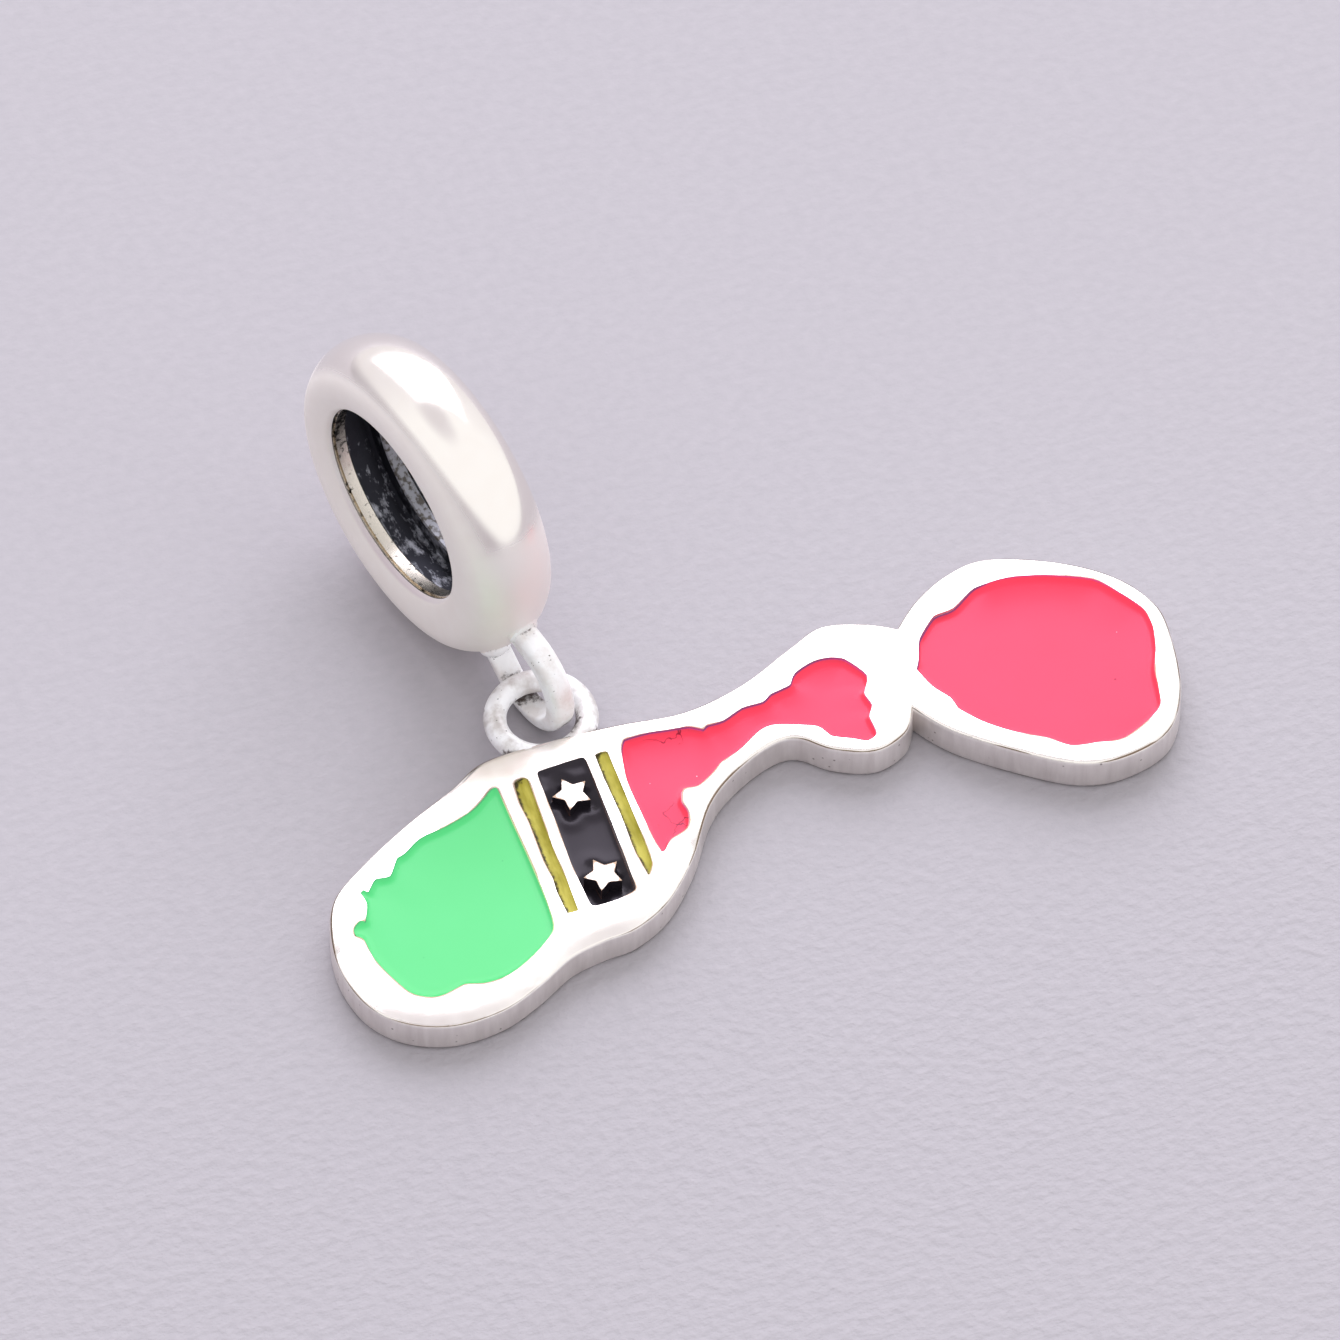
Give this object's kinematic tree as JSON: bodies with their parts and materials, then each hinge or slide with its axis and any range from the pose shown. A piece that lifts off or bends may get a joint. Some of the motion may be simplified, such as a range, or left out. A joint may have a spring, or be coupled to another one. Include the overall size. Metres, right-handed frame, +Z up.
{
  "type": "bead charm",
  "caption": "Lying dangle charm: a polished wide-bore bead with a soldered bail, hooked through the ring of a flat enamelled plate shaped as two joined islands.",
  "frame": {"origin": "on the surface that the charm lies on, under the middle of its box", "axes": "+X along the plate's length towards the small island, +Y from the plate towards the bead, +Z up out of the enamelled face"},
  "size_m": [0.0228, 0.0175, 0.0086],
  "materials": {
    "bead_silver": "polished silver, oxidised dark inside",
    "plate_silver": "polished silver with cast sides",
    "green_enamel": "glossy cold enamel",
    "black_enamel": "glossy cold enamel",
    "yellow_enamel": "glossy cold enamel, olive yellow",
    "red_enamel": "glossy cold enamel, coral red"
  },
  "bodies": {
    "root": {"bead": "bead_silver", "map_plate": "plate_silver", "green_enamel": "green_enamel", "black_enamel": "black_enamel", "yellow_stripe_left": "yellow_enamel", "yellow_stripe_right": "yellow_enamel", "red_enamel": "red_enamel", "red_enamel_small": "red_enamel"}
  },
  "joints": []
}
